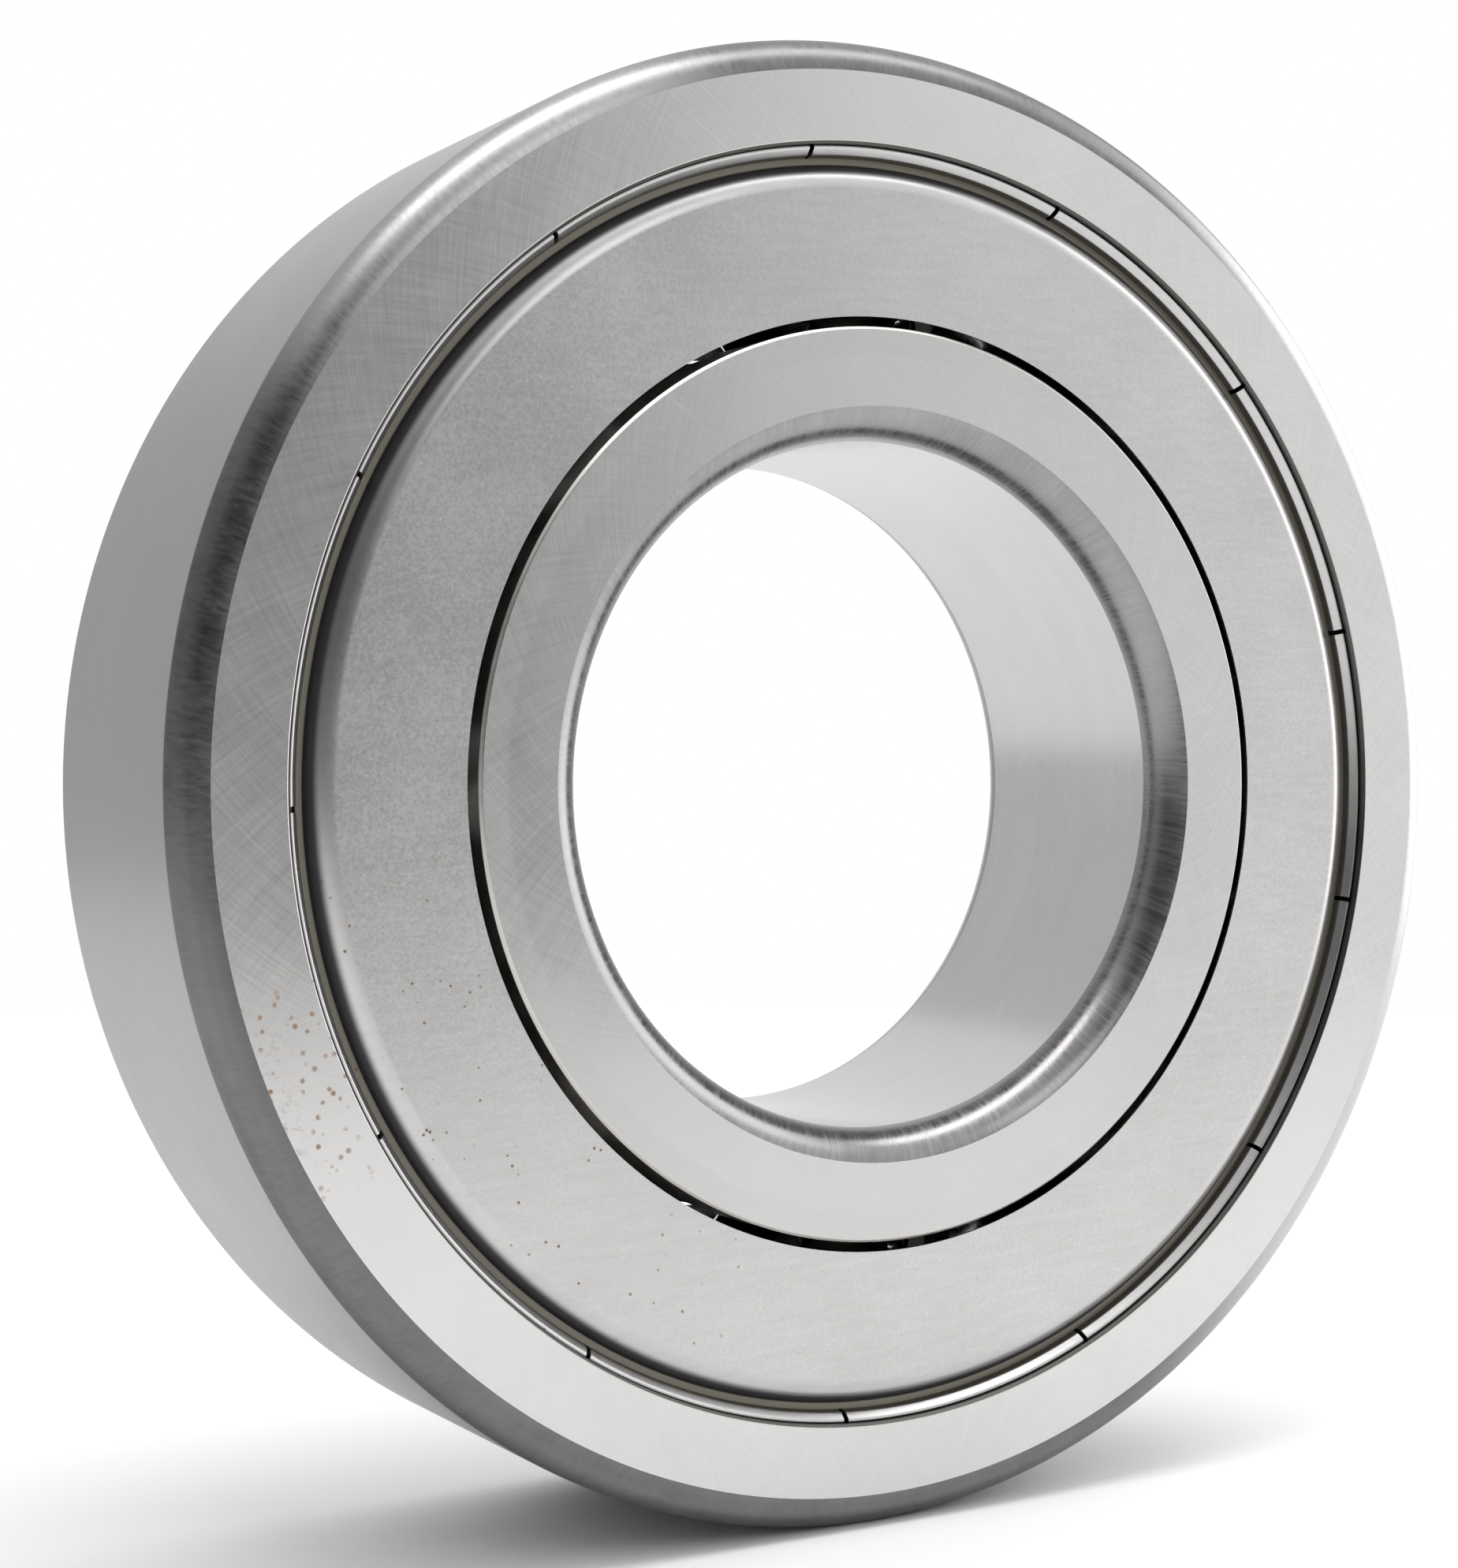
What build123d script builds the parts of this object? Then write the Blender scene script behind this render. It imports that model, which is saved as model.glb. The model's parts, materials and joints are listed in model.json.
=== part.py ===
"""Shielded deep-groove ball bearing, 70 x 150 x 35 mm, in millimetres.

The bearing's axis is the Y axis and the origin is the centre of the bearing. The front face looks
along -Y. Profiles are drawn on the XY plane, with X as the radius and Y as the axial place.
"""
from build123d import *

import math
import os

os.makedirs("parts", exist_ok=True)

# Boundary sizes
BORE_DIAMETER = 70.0
OUTSIDE_DIAMETER = 150.0
WIDTH = 35.0

# Balls and raceways
BALL_DIAMETER = 25.4
BALL_COUNT = 8
FIRST_BALL_ANGLE = 90.0  # degrees from +X towards +Z
RACE_GAP = 0.05  # running gap between a ball and each raceway
INNER_OSCULATION = 0.515  # groove radius over ball diameter
OUTER_OSCULATION = 0.525

# Rings
INNER_SHOULDER_HEIGHT = 3.95
OUTER_SHOULDER_HEIGHT = 4.75
EDGE_BREAK = 0.3
OUTER_CORNER_RADIAL = 3.4
OUTER_CORNER_AXIAL = 2.6
OUTER_CORNER_RADIUS = 4.2
BORE_CORNER_RADIAL = 3.2
BORE_CORNER_AXIAL = 3.8
BORE_CORNER_RADIUS = 4.6

# Shield seat in the outer ring, depths from the ring's side face
RECESS_STEP = 1.3  # from the outer ring's land out to the recess wall
RECESS_WALL_DEPTH = 0.65
SEAT_GROOVE_DEPTH = 0.75
SEAT_GROOVE_SLOPE = 0.4  # axial run of the groove's front side
SEAT_CLEARANCE = 0.02

# Shield
SHIELD_THICKNESS = 0.3
SHIELD_SET_BACK = 0.45
SHIELD_RING_GAP = 1.0
SHOULDER_INSET = 2.66  # these radial places are measured in from the recess wall
FLOOR_START_INSET = 1.875
FLOOR_END_INSET = 0.99
WALL_TOP_INSET = 0.8
CROWN_INSET = 0.15
LIP_TIP_OUTSET = 0.44  # out from the recess wall
CHANNEL_DEPTH = 1.66  # below the flat disc
WALL_HEIGHT = 0.84  # the steep part of the lip's inner side, above the channel's floor
CROWN_SET_BACK = 0.57  # to the fold's unrounded point
LIP_DROP = 1.23
SHOULDER_BEND = 2.7
FOLD_INSIDE = 0.02  # inside radius of a tight fold
SLIT_COUNT = 13
SLIT_WIDTH = 0.55
SLIT_INSET = 1.05
FRONT_SLIT_ANGLE = 71.6
REAR_SLIT_ANGLE = 90.0

# Cage and rivets
CAGE_THICKNESS = 1.6
CAGE_BAND_WIDTH = 11.0
POCKET_GAP = 0.3
RIVET_SHANK_DIAMETER = 3.6
RIVET_HEAD_DIAMETER = 6.6
RIVET_HEAD_HEIGHT = 1.5

# Worked out from the values above
half_width = WIDTH / 2
bore_radius = BORE_DIAMETER / 2
outside_radius = OUTSIDE_DIAMETER / 2
pitch_radius = (bore_radius + outside_radius) / 2
ball_radius = BALL_DIAMETER / 2
inner_groove_radius = INNER_OSCULATION * BALL_DIAMETER
outer_groove_radius = OUTER_OSCULATION * BALL_DIAMETER
inner_race_bottom = pitch_radius - ball_radius - RACE_GAP
outer_race_bottom = pitch_radius + ball_radius + RACE_GAP
inner_shoulder_radius = inner_race_bottom + INNER_SHOULDER_HEIGHT
outer_land_radius = outer_race_bottom - OUTER_SHOULDER_HEIGHT
recess_radius = outer_land_radius + RECESS_STEP
half_sheet = SHIELD_THICKNESS / 2
disc_depth = SHIELD_SET_BACK + half_sheet
crown_depth = CROWN_SET_BACK + half_sheet
floor_depth = disc_depth + CHANNEL_DEPTH
wall_top_depth = floor_depth - WALL_HEIGHT
fold_bend = half_sheet + FOLD_INSIDE
seat_depth = floor_depth + half_sheet + SEAT_CLEARANCE
pocket_radius = ball_radius + POCKET_GAP
ball_angles = [FIRST_BALL_ANGLE - 360 / BALL_COUNT * number for number in range(BALL_COUNT)]
rivet_angles = [angle - 180 / BALL_COUNT for angle in ball_angles]


def on_pitch_circle(angle: float) -> Vector:
    """Return the point of the pitch circle at an angle from +X towards +Z."""
    turn = math.radians(angle)
    return Vector(pitch_radius * math.cos(turn), 0, pitch_radius * math.sin(turn))


ball_places = [Location(on_pitch_circle(angle)) for angle in ball_angles]

# Outer ring
with BuildPart() as outer_ring:
    with BuildSketch(Plane.XY):
        with BuildLine():
            seat_face = seat_depth - half_width
            groove_front = RECESS_WALL_DEPTH + SEAT_GROOVE_SLOPE - half_width
            groove_radius = recess_radius + SEAT_GROOVE_DEPTH
            corner_start = (outside_radius, OUTER_CORNER_AXIAL - half_width)
            corner_end = (outside_radius - OUTER_CORNER_RADIAL, -half_width)
            Line((outside_radius, 0), corner_start)
            RadiusArc(corner_start, corner_end, OUTER_CORNER_RADIUS)
            Polyline(
                corner_end,
                (recess_radius + EDGE_BREAK, -half_width),
                (recess_radius, EDGE_BREAK - half_width),
                (recess_radius, RECESS_WALL_DEPTH - half_width),
                (groove_radius, groove_front),
                (groove_radius, seat_face),
                (outer_land_radius, seat_face),
                (outer_land_radius, 0),
            )
            mirror(about=Plane.XZ)
        make_face()
        with Locations((outer_race_bottom - outer_groove_radius, 0)):
            Circle(outer_groove_radius, mode=Mode.SUBTRACT)
    revolve(axis=Axis.Y)
outer_ring.part.label = "outer_ring"
export_step(outer_ring.part, "parts/outer_ring.step")

# Inner ring
with BuildPart() as inner_ring:
    with BuildSketch(Plane.XY):
        with BuildLine():
            corner_start = (bore_radius, BORE_CORNER_AXIAL - half_width)
            corner_end = (bore_radius + BORE_CORNER_RADIAL, -half_width)
            Line((bore_radius, 0), corner_start)
            RadiusArc(corner_start, corner_end, -BORE_CORNER_RADIUS)
            Polyline(
                corner_end,
                (inner_shoulder_radius - EDGE_BREAK, -half_width),
                (inner_shoulder_radius, EDGE_BREAK - half_width),
                (inner_shoulder_radius, 0),
            )
            mirror(about=Plane.XZ)
        make_face()
        with Locations((inner_race_bottom + inner_groove_radius, 0)):
            Circle(inner_groove_radius, mode=Mode.SUBTRACT)
    revolve(axis=Axis.Y)
inner_ring.part.label = "inner_ring"
export_step(inner_ring.part, "parts/inner_ring.step")

# Balls
for number, place in enumerate(ball_places, start=1):
    with BuildPart() as ball:
        with Locations(place):
            Sphere(ball_radius)
    ball.part.label = f"ball_{number}"
    export_step(ball.part, f"parts/ball_{number}.step")


def cage_half(side: int) -> Part:
    """Return one pressed half of the cage.

    Args:
        side: -1 for the half towards the front face, 1 for the half towards the rear face.
    """
    band_inner = pitch_radius - CAGE_BAND_WIDTH / 2
    band_outer = pitch_radius + CAGE_BAND_WIDTH / 2
    with BuildPart() as half:
        with BuildSketch(Plane.XZ):
            Circle(band_outer)
            Circle(band_inner, mode=Mode.SUBTRACT)
        extrude(amount=-side * CAGE_THICKNESS)
        with Locations(ball_places):
            Sphere(pocket_radius + CAGE_THICKNESS)
        with BuildSketch(Plane.XZ):
            Circle(band_outer)
            Circle(band_inner, mode=Mode.SUBTRACT)
        extrude(amount=-side * half_width, mode=Mode.INTERSECT)
        with Locations(ball_places):
            Sphere(pocket_radius, mode=Mode.SUBTRACT)
        with BuildSketch(Plane.XZ):
            with PolarLocations(pitch_radius, BALL_COUNT, start_angle=rivet_angles[0]):
                Circle(RIVET_SHANK_DIAMETER / 2)
        extrude(amount=half_width, both=True, mode=Mode.SUBTRACT)
    return half.part


# Cage
with BuildPart() as cage_front_half:
    add(cage_half(-1))
cage_front_half.part.label = "cage_front_half"
export_step(cage_front_half.part, "parts/cage_front_half.step")

with BuildPart() as cage_rear_half:
    add(cage_half(1))
cage_rear_half.part.label = "cage_rear_half"
export_step(cage_rear_half.part, "parts/cage_rear_half.step")

# Rivets
shank_radius = RIVET_SHANK_DIAMETER / 2
head_rim = (RIVET_HEAD_DIAMETER / 2, CAGE_THICKNESS)
head_top = (0, CAGE_THICKNESS + RIVET_HEAD_HEIGHT)
dome_radius = (head_rim[0] ** 2 + RIVET_HEAD_HEIGHT**2) / (2 * RIVET_HEAD_HEIGHT)

for number, angle in enumerate(rivet_angles, start=1):
    place = on_pitch_circle(angle)
    rivet_plane = Plane(origin=place, x_dir=(1, 0, 0), z_dir=(0, 0, 1))
    with BuildPart() as rivet:
        with BuildSketch(rivet_plane):
            with BuildLine():
                Polyline((shank_radius, 0), (shank_radius, CAGE_THICKNESS), head_rim)
                RadiusArc(head_rim, head_top, -dome_radius)
                Line(head_top, (0, 0))
                mirror(about=Plane.XZ)
            make_face()
        revolve(axis=Axis(place, (0, 1, 0)))
    rivet.part.label = f"rivet_{number}"
    export_step(rivet.part, f"parts/rivet_{number}.step")


def shield(side: int, slit_angle: float) -> Part:
    """Return one pressed shield with its slit outer lip.

    Args:
        side: -1 for the front shield, 1 for the rear one.
        slit_angle: place of the first slit, in degrees from +X towards +Z.
    """
    inner_edge = inner_shoulder_radius + SHIELD_RING_GAP
    sheet_points = [
        (inner_edge, disc_depth),
        (recess_radius - SHOULDER_INSET, disc_depth),
        (recess_radius - FLOOR_START_INSET, floor_depth),
        (recess_radius - FLOOR_END_INSET, floor_depth),
        (recess_radius - WALL_TOP_INSET, wall_top_depth),
        (recess_radius - CROWN_INSET, crown_depth),
        (recess_radius + LIP_TIP_OUTSET, crown_depth + LIP_DROP),
    ]
    bends = (SHOULDER_BEND, fold_bend, fold_bend, fold_bend, fold_bend)
    route = [(radius, side * (half_width - depth)) for radius, depth in sheet_points]
    with BuildPart() as sheet:
        with BuildSketch(Plane.XY):
            with BuildLine() as middle:
                FilletPolyline(*route, radius=bends)
            trace(middle.line, line_width=SHIELD_THICKNESS)
        revolve(axis=Axis.Y)
        slit_length = SLIT_INSET + LIP_TIP_OUTSET + SHIELD_THICKNESS
        slit_radius = recess_radius - SLIT_INSET + slit_length / 2
        with BuildSketch(Plane.XZ):
            with PolarLocations(slit_radius, SLIT_COUNT, start_angle=slit_angle):
                Rectangle(slit_length, SLIT_WIDTH)
        extrude(amount=-side * half_width, mode=Mode.SUBTRACT)
    return sheet.part


# Shields
with BuildPart() as shield_front:
    add(shield(-1, FRONT_SLIT_ANGLE))
shield_front.part.label = "shield_front"
export_step(shield_front.part, "parts/shield_front.step")

with BuildPart() as shield_rear:
    add(shield(1, REAR_SLIT_ANGLE))
shield_rear.part.label = "shield_rear"
export_step(shield_rear.part, "parts/shield_rear.step")
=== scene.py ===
"""Looks of a shielded deep-groove ball bearing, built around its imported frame.

The bearing's axis is the Y axis and its centre is the origin. The front face looks along -Y, and
the bearing stands on its outer ring with +Z up. Sizes are in millimetres, and finished meshes are
in metres. Angles round the axis start at the top and run clockwise as seen from the front.
"""

import json
import logging
import math
from dataclasses import dataclass
from enum import Enum
from typing import Callable

import bmesh
import bpy
from mathutils import Matrix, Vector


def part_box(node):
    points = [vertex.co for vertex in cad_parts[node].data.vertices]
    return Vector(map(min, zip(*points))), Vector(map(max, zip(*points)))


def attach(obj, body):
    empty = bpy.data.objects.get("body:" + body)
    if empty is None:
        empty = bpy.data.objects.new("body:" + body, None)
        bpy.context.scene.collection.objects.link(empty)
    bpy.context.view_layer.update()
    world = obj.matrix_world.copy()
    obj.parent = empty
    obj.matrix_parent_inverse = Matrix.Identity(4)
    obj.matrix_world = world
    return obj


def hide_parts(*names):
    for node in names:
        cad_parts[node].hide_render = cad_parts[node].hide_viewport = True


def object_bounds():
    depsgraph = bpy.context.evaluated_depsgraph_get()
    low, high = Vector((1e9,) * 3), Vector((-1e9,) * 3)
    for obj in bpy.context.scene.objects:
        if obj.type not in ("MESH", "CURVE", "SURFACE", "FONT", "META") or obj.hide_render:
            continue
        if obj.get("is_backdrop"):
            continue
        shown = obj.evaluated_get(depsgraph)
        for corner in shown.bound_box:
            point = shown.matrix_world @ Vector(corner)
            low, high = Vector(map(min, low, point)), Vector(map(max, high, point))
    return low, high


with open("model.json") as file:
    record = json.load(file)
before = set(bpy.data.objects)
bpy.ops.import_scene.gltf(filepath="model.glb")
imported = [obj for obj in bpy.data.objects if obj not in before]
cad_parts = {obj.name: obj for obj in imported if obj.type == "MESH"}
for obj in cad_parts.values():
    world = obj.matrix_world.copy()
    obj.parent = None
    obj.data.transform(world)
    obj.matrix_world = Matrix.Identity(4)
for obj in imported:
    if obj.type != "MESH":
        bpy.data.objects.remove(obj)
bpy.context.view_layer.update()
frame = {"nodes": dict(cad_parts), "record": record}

log = logging.getLogger("bearing")

MM = 0.001
RING_STEPS = 360  # facets round a ring
JOIN_DISTANCE = 1e-5  # points nearer than this are one point
SEAM_DISTANCE = 1e-3  # the same, where a surface spun in sectors closes on itself
SHARP_ANGLE = math.radians(5.0)  # an edge that turns more than this keeps a crisp line
EDGE_SEGMENTS = 3  # facets across a broken edge
SHIELD_RING_GAP = 1.0  # from the inner ring's shoulder to a shield
FRONT_SLIT = 18.4  # angle of a slit in the front shield
REAR_SLIT = 0.0  # angle of a slit in the rear shield

Point = tuple[float, float]


# Shader nodes


class Value:
    """A number, vector or colour that varies over a surface, held as a node socket."""

    def __init__(self, sheet: "NodeSheet", socket: bpy.types.NodeSocket) -> None:
        """Keep the socket and the tree that it belongs to."""
        self.sheet = sheet
        self.socket = socket

    def __add__(self, other: "Value | float") -> "Value":
        """Add two numbers."""
        return self.sheet.math("ADD", self, other)

    def __sub__(self, other: "Value | float") -> "Value":
        """Take a number away."""
        return self.sheet.math("SUBTRACT", self, other)

    def __mul__(self, other: "Value | float") -> "Value":
        """Multiply two numbers."""
        return self.sheet.math("MULTIPLY", self, other)

    def __truediv__(self, other: "Value | float") -> "Value":
        """Divide by a number."""
        return self.sheet.math("DIVIDE", self, other)

    def __rsub__(self, other: float) -> "Value":
        """Take this from a plain number."""
        return self.sheet.math("SUBTRACT", other, self)

    def __neg__(self) -> "Value":
        """Turn the sign."""
        return self.sheet.math("MULTIPLY", self, -1.0)

    __radd__ = __add__
    __rmul__ = __mul__

    def smooth(self, low: float, high: float) -> "Value":
        """Return a soft step that is 0 up to low and 1 from high."""
        return self.sheet.value(
            "ShaderNodeMapRange",
            {"interpolation_type": "SMOOTHSTEP"},
            {"Value": self, "From Min": low, "From Max": high},
        )

    def window(self, low: float, high: float, soft: float) -> "Value":
        """Return 1 between low and high, with soft ends of the given width."""
        return self.smooth(low - soft, low + soft) * (1 - self.smooth(high - soft, high + soft))


class NodeSheet:
    """The node tree of one material, or of the world."""

    def __init__(self, tree: bpy.types.NodeTree) -> None:
        """Start from an empty tree."""
        self.tree = tree
        tree.nodes.clear()

    def node(self, kind: str, settings: dict | None = None, inputs: dict | None = None) -> bpy.types.Node:
        """Add one node.

        Args:
            kind: the node's type.
            settings: its properties, which are set first.
            inputs: the value, or the source, of each socket by its name or number.

        Returns:
            The new node.
        """
        made = self.tree.nodes.new(kind)
        for name, setting in (settings or {}).items():
            setattr(made, name, setting)
        for name, given in (inputs or {}).items():
            source = given.socket if isinstance(given, Value) else given
            if isinstance(source, bpy.types.NodeSocket):
                self.tree.links.new(source, made.inputs[name])
            else:
                made.inputs[name].default_value = source
        return made

    def value(
        self, kind: str, settings: dict | None = None, inputs: dict | None = None, output: int | str = 0
    ) -> Value:
        """Add one node and return one of its outputs."""
        return Value(self, self.node(kind, settings, inputs).outputs[output])

    def math(self, operation: str, *terms: "Value | float") -> Value:
        """Add a Math node for an operation on numbers."""
        return self.value("ShaderNodeMath", {"operation": operation}, dict(enumerate(terms)))

    def vector_math(self, operation: str, inputs: dict) -> Value:
        """Add a Vector Math node."""
        return self.value("ShaderNodeVectorMath", {"operation": operation}, inputs)

    def parts(self, vector: Value) -> tuple[Value, Value, Value]:
        """Return a vector's three numbers."""
        split = self.node("ShaderNodeSeparateXYZ", None, {0: vector})
        return tuple(Value(self, socket) for socket in split.outputs)

    def joined(self, x: "Value | float", y: "Value | float", z: "Value | float") -> Value:
        """Return the vector of three numbers."""
        return self.value("ShaderNodeCombineXYZ", None, {0: x, 1: y, 2: z})

    def blend(self, share: "Value | float", first: "Value | tuple", second: "Value | tuple") -> Value:
        """Return a colour between two colours.

        Args:
            share: how much of the second colour there is, from 0 to 1.
            first: the colour at 0.
            second: the colour at 1.
        """
        inputs = {0: share, 6: first, 7: second}
        return self.value("ShaderNodeMix", {"data_type": "RGBA"}, inputs, output=2)


def grey(level: float, warmth: float = 0.0) -> tuple[float, float, float, float]:
    """Return a grey colour, made warmer or, below zero, cooler."""
    return (level * (1 + warmth), level, level * (1 - warmth), 1.0)


class SteelSheet(NodeSheet):
    """The node tree of one steel finish, with the coordinates that its patterns share."""

    def __init__(self, name: str) -> None:
        """Make the material and its coordinates, in millimetres."""
        self.material = bpy.data.materials.new(name)
        self.material.use_nodes = True
        super().__init__(self.material.node_tree)
        place = self.value("ShaderNodeTexCoord", output="Object")
        self.place = self.vector_math("SCALE", {0: place, "Scale": 1 / MM})
        self.x, self.y, self.z = self.parts(self.place)
        self.radius = self.math("SQRT", self.x * self.x + self.z * self.z)
        self.turn = self.math("ARCTAN2", self.x, self.z)

    def noise(self, vector: Value, scale: float, detail: float = 2.0, rough: float = 0.5) -> Value:
        """Return a noise pattern whose middle is 0.5."""
        inputs = {"Vector": vector, "Scale": scale, "Detail": detail, "Roughness": rough}
        return self.value("ShaderNodeTexNoise", None, inputs)

    def cells(self, vector: Value, scale: float) -> Value:
        """Return the distance to the nearest of many scattered points."""
        return self.value("ShaderNodeTexVoronoi", None, {"Vector": vector, "Scale": scale})

    def sweep(self, at_radius: float, twist: float, stretch: float, shift: float = 0.0) -> Value:
        """Return coordinates for marks that lie across or along a ring.

        Args:
            at_radius: radius where lengths round the ring are true.
            twist: how far the marks lean round the ring as they run outwards; 0 is radial.
            stretch: how much of its length a mark keeps; small values make long marks.
            shift: moves the pattern, so that two sets of marks differ.
        """
        turned = self.turn - self.radius * (twist / at_radius)
        across = self.math("COSINE", turned) * at_radius
        along = self.math("SINE", turned) * at_radius
        return self.joined(across, along, (self.radius + self.y) * stretch + shift)

    def hoops(self, stretch: float, shift: float = 0.0) -> Value:
        """Return coordinates for fine lines that run round the ring."""
        around = self.vector_math("NORMALIZE", {0: self.joined(self.x, 0.0, self.z)})
        cos, _, sin = self.parts(around)
        return self.joined(cos * stretch, sin * stretch, self.radius + self.y + shift)

    def slant(self, angle: float, stretch: float, shift: float) -> Value:
        """Return coordinates for long straight scratches at an angle to the horizontal."""
        lean = math.radians(angle)
        along = self.x * math.cos(lean) + self.z * math.sin(lean)
        across = self.z * math.cos(lean) - self.x * math.sin(lean)
        return self.joined(along * stretch, across, self.y * 0.2 + shift)

    def sector(self, start: float, end: float, soft: float) -> Value:
        """Return 1 in a sector between two angles from the top, with soft ends, all in degrees."""
        middle = math.radians((start + end) / 2)
        toward = (self.x * math.sin(middle) + self.z * math.cos(middle)) / self.radius
        reach = (end - start) / 2
        inner = math.cos(math.radians(max(reach - soft, 0.0)))
        outer = math.cos(math.radians(reach + soft))
        return toward.smooth(outer, inner)

    def finished(
        self, colour: Value, roughness: Value, height: Value, relief: float, metal: "Value | float" = 1.0
    ) -> bpy.types.Material:
        """Close the tree with a metal surface.

        Args:
            colour: base colour.
            roughness: roughness.
            height: relief pattern, about 0 to 1.
            relief: height of the relief in millimetres.
            metal: share of bare metal.

        Returns:
            The material.
        """
        bump = self.value("ShaderNodeBump", None, {"Height": height, "Distance": relief * MM})
        surface = self.node(
            "ShaderNodeBsdfPrincipled",
            None,
            {"Base Color": colour, "Roughness": roughness, "Metallic": metal, "Normal": bump},
        )
        self.node("ShaderNodeOutputMaterial", None, {"Surface": surface.outputs[0]})
        return self.material


# Finishes


@dataclass(frozen=True)
class GroundFace:
    """A side face of a ring, ground flat, with crossing fine marks and a few handling scratches."""

    name: str
    inner_radius: float
    outer_radius: float
    level: float = 0.62
    warmth: float = 0.012
    roughness: float = 0.2
    rim_start: float = 60.0
    rim_roughness: float = 0.0
    rusty: bool = False

    def material(self) -> bpy.types.Material:
        """Return the finish as a material."""
        sheet = SteelSheet(self.name)
        middle = (self.inner_radius + self.outer_radius) / 2
        leaning = sheet.noise(sheet.sweep(middle, 1.1, 0.09), 2.6, 2.0, 0.6)
        crossing = sheet.noise(sheet.sweep(middle, -0.8, 0.07, 9.0), 2.2, 2.0, 0.6)
        marks = leaning * 0.5 + crossing * 0.5
        mottle = sheet.noise(sheet.place, 0.16, 3.0)
        patches = sheet.noise(sheet.place, 0.045, 2.0)
        scratches = self.scratches(sheet)
        tone = (mottle - 0.5) * 0.3 + (patches - 0.5) * 0.45 + (marks - 0.5) * 0.9 + 0.5
        light = grey(self.level * 1.07, self.warmth)
        dark = grey(self.level * 0.9, self.warmth)
        colour = sheet.blend(tone.smooth(0.0, 1.0), dark, light)
        colour = sheet.blend(scratches * 0.06, colour, grey(0.88))
        rust = self.rust(sheet)
        colour = sheet.blend(rust, colour, (0.25, 0.13, 0.05, 1.0))
        rim = sheet.radius.smooth(self.rim_start - 0.4, self.rim_start + 0.4) * self.rim_roughness
        roughness = self.roughness + (mottle - 0.5) * 0.07 + (marks - 0.5) * 0.16 + rim + rust * 0.4
        height = marks + scratches * -0.08
        return sheet.finished(colour, roughness, height, 0.003, 1 - rust * 0.8)

    def scratches(self, sheet: SteelSheet) -> Value:
        """Return a few long straight scratches, 1 where they run."""
        total = None
        for angle, shift in ((18.0, 3.0), (-34.0, 17.0), (71.0, 31.0)):
            line = sheet.noise(sheet.slant(angle, 0.035, shift), 1.9, 0.0).smooth(0.72, 0.78)
            where = sheet.noise(sheet.slant(angle, 0.6, shift + 5), 0.06, 1.0).smooth(0.5, 0.62)
            found = line * where
            total = found if total is None else total + found
        return total

    def rust(self, sheet: SteelSheet) -> Value:
        """Return small rust specks, gathered low on the left of the face."""
        if not self.rusty:
            return sheet.noise(sheet.place, 0.9, 2.0).smooth(0.9, 0.95) * 0.3
        specks = 1 - sheet.cells(sheet.place, 0.9).smooth(0.14, 0.3)
        spread = sheet.noise(sheet.place, 0.35, 2.0).smooth(0.42, 0.56)
        stain = sheet.noise(sheet.place, 0.8, 4.0, 0.7).smooth(0.5, 0.72) * sheet.radius.smooth(68.0, 71.5)
        return specks * spread * sheet.sector(240, 254, 3) * 0.85 + stain * sheet.sector(243, 251, 3) * 0.45


@dataclass(frozen=True)
class TurnedCorner:
    """A rounded ring corner, turned before hardening and never ground, with short chatter ticks and, where
    asked, painted highlights in two sectors.
    """

    name: str
    middle_radius: float
    level: float = 0.18
    roughness: float = 0.34
    # strength of the painted highlights in two sectors of the corner
    painted_highlight_level: float = 0.0

    def material(self) -> bpy.types.Material:
        """Return the finish as a material."""
        sheet = SteelSheet(self.name)
        ticks = sheet.noise(sheet.sweep(self.middle_radius, 0.15, 0.22), 2.4, 2.0, 0.6)
        bands = sheet.noise(sheet.hoops(2.0), 0.9, 2.0)
        stains = sheet.noise(sheet.place, 0.22, 4.0, 0.6)
        tone = ((ticks - 0.5) * 0.8 + (stains - 0.5) * 0.8 + (bands - 0.5) * 0.4 + 0.5).smooth(0.0, 1.0)
        dark = (self.level * 0.8, self.level * 0.77, self.level * 0.8, 1.0)
        light = (self.level * 1.14, self.level * 1.13, self.level * 1.15, 1.0)
        colour = sheet.blend(tone, dark, light)
        # Painted highlights: the corner is lightened towards bright steel in two sectors, on the right and at
        # the upper left, where lamp highlights fall.
        painted_highlight_sectors = sheet.sector(38, 142, 14) + sheet.sector(306, 334, 12) * 0.8
        colour = sheet.blend(painted_highlight_sectors * self.painted_highlight_level, colour, grey(0.62))
        roughness = self.roughness + (ticks - 0.5) * 0.3 + (stains - 0.5) * 0.16
        return sheet.finished(colour, roughness, ticks + bands * 0.4, 0.008)


@dataclass(frozen=True)
class GroundCylinder:
    """A ring's outside or bore, ground with fine lines that run round it."""

    name: str
    level: float = 0.66
    roughness: float = 0.22

    def material(self) -> bpy.types.Material:
        """Return the finish as a material."""
        sheet = SteelSheet(self.name)
        fine = sheet.noise(sheet.hoops(3.0), 4.0, 3.0, 0.6)
        broad = sheet.noise(sheet.hoops(1.2, 7.0), 0.5, 2.0)
        stains = sheet.noise(sheet.place, 0.08, 4.0, 0.6)
        tone = ((fine - 0.5) * 0.6 + (broad - 0.5) * 0.4 + (stains - 0.5) * 0.7 + 0.5).smooth(0.0, 1.0)
        colour = sheet.blend(tone, grey(self.level * 0.92, 0.01), grey(self.level * 1.06))
        roughness = self.roughness + (fine - 0.5) * 0.14 + (stains - 0.5) * 0.14
        return sheet.finished(colour, roughness, fine, 0.002)


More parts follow.
